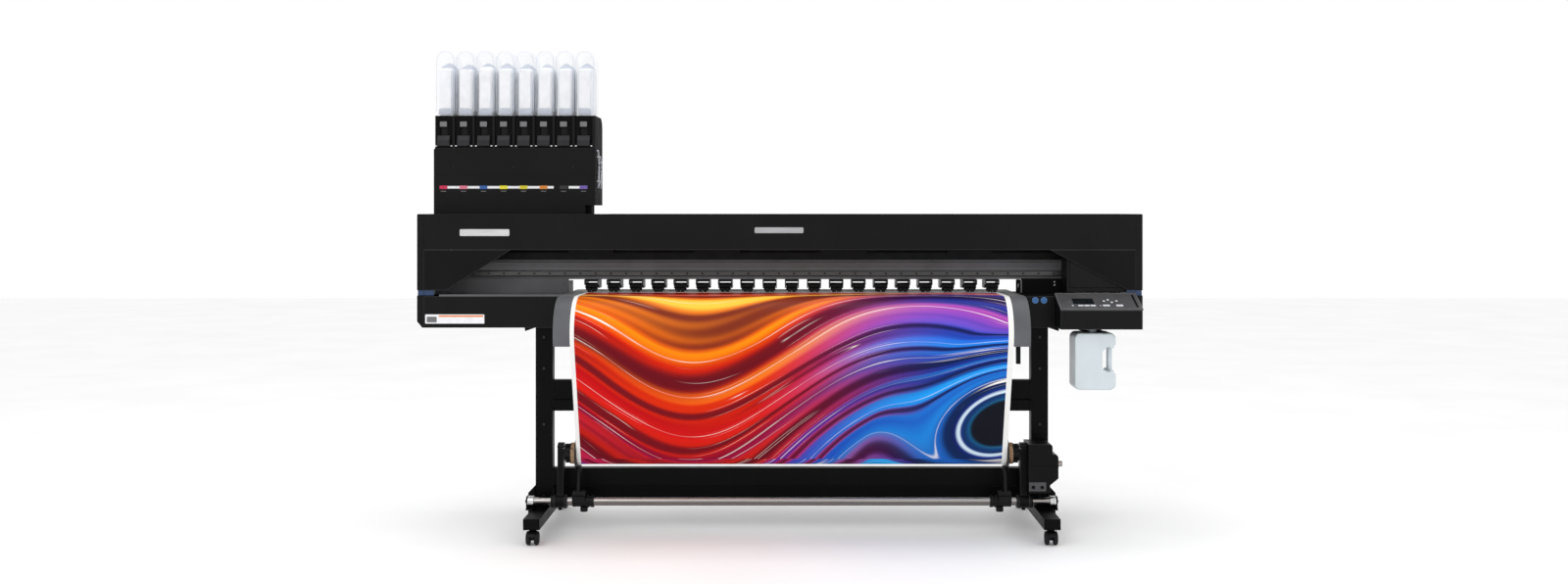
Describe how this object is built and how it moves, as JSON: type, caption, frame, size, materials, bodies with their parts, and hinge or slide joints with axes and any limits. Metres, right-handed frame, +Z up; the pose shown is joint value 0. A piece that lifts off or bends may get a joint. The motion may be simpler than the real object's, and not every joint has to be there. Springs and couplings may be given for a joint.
{
  "type": "wide-format inkjet printer",
  "caption": "Roll-to-roll wide-format inkjet printer on a castered stand, with a hinged front cover, a bag ink supply on top and a motor-driven take-up reel.",
  "frame": {"origin": "on the floor under the middle of the machine's overall box", "axes": "+X to the operator's right, +Y to the back, +Z up"},
  "size_m": [2.775, 0.7, 1.854],
  "materials": {
    "cover_black": "satin powder coat",
    "stand_black": "satin powder coat",
    "frame_black": "satin",
    "beam_grey": "satin",
    "table_grey": "anodised",
    "guide_grey": "satin",
    "panel_grey": "fine grain",
    "key_grey": "matte",
    "black_plastic": "matte moulded",
    "steel": "ground",
    "stainless": "brushed",
    "rubber": "matte",
    "media": "coated textile",
    "clear_plastic": "translucent blow-moulded",
    "clear_film": "translucent film"
  },
  "bodies": {
    "machine": {"foot_beams": "stand_black", "stand_posts": "stand_black", "crossbeams": "stand_black", "support_brackets": "stand_black", "stand_bolts": "steel", "base_pipe": "stainless", "guide_arms": "black_plastic", "machine_frame": "frame_black", "lower_front_cover": "cover_black", "control_box": "cover_black", "control_panel": "panel_grey", "wing_covers": "cover_black", "side_covers": "cover_black", "rear_cover": "cover_black", "y_beam": "beam_grey", "linear_rail": "steel", "pinch_holders": "black_plastic", "platen": "table_grey", "paper_guide": "guide_grey", "media_web": "media", "ink_unit_case": "cover_black", "ink_unit_rack": "black_plastic"},
    "front_cover": {"front_cover": "cover_black"},
    "carriage": {"carriage": "black_plastic"},
    "feed_roller": {"grit_roller": "steel"},
    "pinch_arms": {"pinch_arms": "black_plastic"},
    "pinch_rollers": {"pinch_rollers": "rubber"},
    "takeup_roll": {"takeup_roll": "media"},
    "takeup_arm_left": {"takeup_arm_left": "frame_black"},
    "takeup_arm_right": {"takeup_arm_right": "frame_black", "motor_housing": "frame_black"},
    "hub_left": {"hub_left": "black_plastic"},
    "hub_right": {"hub_right": "black_plastic"},
    "torque_knob": {"torque_knob": "steel"},
    "toggle_left": {"toggle_left": "black_plastic"},
    "toggle_right": {"toggle_right": "black_plastic"},
    "supply_roll": {"supply_roll": "media"},
    "waste_tank": {"waste_tank": "clear_plastic"},
    "caster_front_left_fork": {"caster_front_left_fork": "black_plastic"},
    "caster_front_left_wheels": {"caster_front_left_wheels": "rubber"},
    "caster_front_right_fork": {"caster_front_right_fork": "black_plastic"},
    "caster_front_right_wheels": {"caster_front_right_wheels": "rubber"},
    "caster_rear_left_fork": {"caster_rear_left_fork": "black_plastic"},
    "caster_rear_left_wheels": {"caster_rear_left_wheels": "rubber"},
    "caster_rear_right_fork": {"caster_rear_right_fork": "black_plastic"},
    "caster_rear_right_wheels": {"caster_rear_right_wheels": "rubber"},
    "key_left": {"key_left": "key_grey"},
    "key_middle": {"key_middle": "key_grey"},
    "key_right": {"key_right": "key_grey"},
    "key_arrows": {"key_arrows": "key_grey"},
    "key_end": {"key_end": "key_grey"},
    "key_enter": {"key_enter": "key_grey"},
    "ink_pack_1": {"ink_pack_1": "clear_film"},
    "ink_pack_2": {"ink_pack_2": "clear_film"},
    "ink_pack_3": {"ink_pack_3": "clear_film"},
    "ink_pack_4": {"ink_pack_4": "clear_film"},
    "ink_pack_5": {"ink_pack_5": "clear_film"},
    "ink_pack_6": {"ink_pack_6": "clear_film"},
    "ink_pack_7": {"ink_pack_7": "clear_film"},
    "ink_pack_8": {"ink_pack_8": "clear_film"}
  },
  "joints": [
    {"name": "front_cover_hinge", "type": "hinge", "parent": "machine", "child": "front_cover", "pos_m": [0, 0.022, 1.205], "axis": [-1, 0, 0], "range_deg": [0, 70]},
    {"name": "carriage_travel", "type": "slide", "parent": "machine", "child": "carriage", "axis": [1, 0, 0], "range_m": [-2.2, 0]},
    {"name": "feed_spin", "type": "hinge", "parent": "machine", "child": "feed_roller", "pos_m": [0.046, 0.04, 0.8892], "axis": [1, 0, 0], "continuous": true},
    {"name": "pinch_lift", "type": "hinge", "parent": "machine", "child": "pinch_arms", "pos_m": [0.046, 0.112, 0.932], "axis": [-1, 0, 0], "range_deg": [0, 5]},
    {"name": "pinch_spin", "type": "hinge", "parent": "pinch_arms", "child": "pinch_rollers", "pos_m": [0.046, 0.04, 0.915], "axis": [1, 0, 0], "continuous": true},
    {"name": "takeup_spin", "type": "hinge", "parent": "machine", "child": "takeup_roll", "pos_m": [0.046, -0.141, 0.305], "axis": [1, 0, 0], "continuous": true},
    {"name": "left_arm_slide", "type": "slide", "parent": "machine", "child": "takeup_arm_left", "axis": [-1, 0, 0], "range_m": [0, 0.03]},
    {"name": "right_arm_slide", "type": "slide", "parent": "machine", "child": "takeup_arm_right", "axis": [1, 0, 0], "range_m": [0, 0.03]},
    {"name": "left_hub_spin", "type": "hinge", "parent": "takeup_arm_left", "child": "hub_left", "pos_m": [-0.804, -0.141, 0.305], "axis": [1, 0, 0], "continuous": true},
    {"name": "right_hub_spin", "type": "hinge", "parent": "takeup_arm_right", "child": "hub_right", "pos_m": [0.896, -0.141, 0.305], "axis": [1, 0, 0], "continuous": true},
    {"name": "torque_knob_turn", "type": "hinge", "parent": "takeup_arm_right", "child": "torque_knob", "pos_m": [1.051, -0.141, 0.265], "axis": [1, 0, 0], "continuous": true},
    {"name": "toggle_left_flip", "type": "hinge", "parent": "takeup_arm_right", "child": "toggle_left", "pos_m": [0.949, -0.214, 0.19], "axis": [1, 0, 0], "range_deg": [-15, 15]},
    {"name": "toggle_right_flip", "type": "hinge", "parent": "takeup_arm_right", "child": "toggle_right", "pos_m": [0.982, -0.214, 0.19], "axis": [1, 0, 0], "range_deg": [-15, 15]},
    {"name": "supply_spin", "type": "hinge", "parent": "machine", "child": "supply_roll", "pos_m": [0.046, 0.235, 0.69], "axis": [1, 0, 0], "continuous": true},
    {"name": "waste_tank_slide", "type": "slide", "parent": "machine", "child": "waste_tank", "axis": [0, -1, 0], "range_m": [0, 0.15]},
    {"name": "front_left_swivel", "type": "hinge", "parent": "machine", "child": "caster_front_left_fork", "pos_m": [-0.904, -0.304, 0.06], "axis": [0, 0, 1], "continuous": true},
    {"name": "front_left_roll", "type": "hinge", "parent": "caster_front_left_fork", "child": "caster_front_left_wheels", "pos_m": [-0.904, -0.32, 0.025], "axis": [1, 0, 0], "continuous": true},
    {"name": "front_right_swivel", "type": "hinge", "parent": "machine", "child": "caster_front_right_fork", "pos_m": [0.996, -0.304, 0.06], "axis": [0, 0, 1], "continuous": true},
    {"name": "front_right_roll", "type": "hinge", "parent": "caster_front_right_fork", "child": "caster_front_right_wheels", "pos_m": [0.996, -0.32, 0.025], "axis": [1, 0, 0], "continuous": true},
    {"name": "rear_left_swivel", "type": "hinge", "parent": "machine", "child": "caster_rear_left_fork", "pos_m": [-0.904, 0.304, 0.06], "axis": [0, 0, 1], "continuous": true},
    {"name": "rear_left_roll", "type": "hinge", "parent": "caster_rear_left_fork", "child": "caster_rear_left_wheels", "pos_m": [-0.904, 0.32, 0.025], "axis": [1, 0, 0], "continuous": true},
    {"name": "rear_right_swivel", "type": "hinge", "parent": "machine", "child": "caster_rear_right_fork", "pos_m": [0.996, 0.304, 0.06], "axis": [0, 0, 1], "continuous": true},
    {"name": "rear_right_roll", "type": "hinge", "parent": "caster_rear_right_fork", "child": "caster_rear_right_wheels", "pos_m": [0.996, 0.32, 0.025], "axis": [1, 0, 0], "continuous": true},
    {"name": "key_left_press", "type": "slide", "parent": "machine", "child": "key_left", "axis": [0, 0.3955, -0.9184], "range_m": [0, 0.0012], "stiffness_N_per_m": 200, "springref_m": -0.001},
    {"name": "key_middle_press", "type": "slide", "parent": "machine", "child": "key_middle", "axis": [0, 0.3955, -0.9184], "range_m": [0, 0.0012], "stiffness_N_per_m": 200, "springref_m": -0.001},
    {"name": "key_right_press", "type": "slide", "parent": "machine", "child": "key_right", "axis": [0, 0.3955, -0.9184], "range_m": [0, 0.0012], "stiffness_N_per_m": 200, "springref_m": -0.001},
    {"name": "key_arrows_press", "type": "slide", "parent": "machine", "child": "key_arrows", "axis": [0, 0.3955, -0.9184], "range_m": [0, 0.0012], "stiffness_N_per_m": 500, "springref_m": -0.001},
    {"name": "key_end_press", "type": "slide", "parent": "machine", "child": "key_end", "axis": [0, 0.3955, -0.9184], "range_m": [0, 0.0012], "stiffness_N_per_m": 200, "springref_m": -0.001},
    {"name": "key_enter_press", "type": "slide", "parent": "machine", "child": "key_enter", "axis": [0, 0.3955, -0.9184], "range_m": [0, 0.0012], "stiffness_N_per_m": 200, "springref_m": -0.001},
    {"name": "ink_pack_1_lift", "type": "slide", "parent": "machine", "child": "ink_pack_1", "axis": [0, 0, 1], "range_m": [0, 0.13]},
    {"name": "ink_pack_2_lift", "type": "slide", "parent": "machine", "child": "ink_pack_2", "axis": [0, 0, 1], "range_m": [0, 0.13]},
    {"name": "ink_pack_3_lift", "type": "slide", "parent": "machine", "child": "ink_pack_3", "axis": [0, 0, 1], "range_m": [0, 0.13]},
    {"name": "ink_pack_4_lift", "type": "slide", "parent": "machine", "child": "ink_pack_4", "axis": [0, 0, 1], "range_m": [0, 0.13]},
    {"name": "ink_pack_5_lift", "type": "slide", "parent": "machine", "child": "ink_pack_5", "axis": [0, 0, 1], "range_m": [0, 0.13]},
    {"name": "ink_pack_6_lift", "type": "slide", "parent": "machine", "child": "ink_pack_6", "axis": [0, 0, 1], "range_m": [0, 0.13]},
    {"name": "ink_pack_7_lift", "type": "slide", "parent": "machine", "child": "ink_pack_7", "axis": [0, 0, 1], "range_m": [0, 0.13]},
    {"name": "ink_pack_8_lift", "type": "slide", "parent": "machine", "child": "ink_pack_8", "axis": [0, 0, 1], "range_m": [0, 0.13]}
  ],
  "couplings": [
    {"joint": "pinch_spin", "follows": "feed_spin", "ratio": -1.7333},
    {"joint": "left_hub_spin", "follows": "takeup_spin", "ratio": 1},
    {"joint": "right_hub_spin", "follows": "takeup_spin", "ratio": 1}
  ]
}
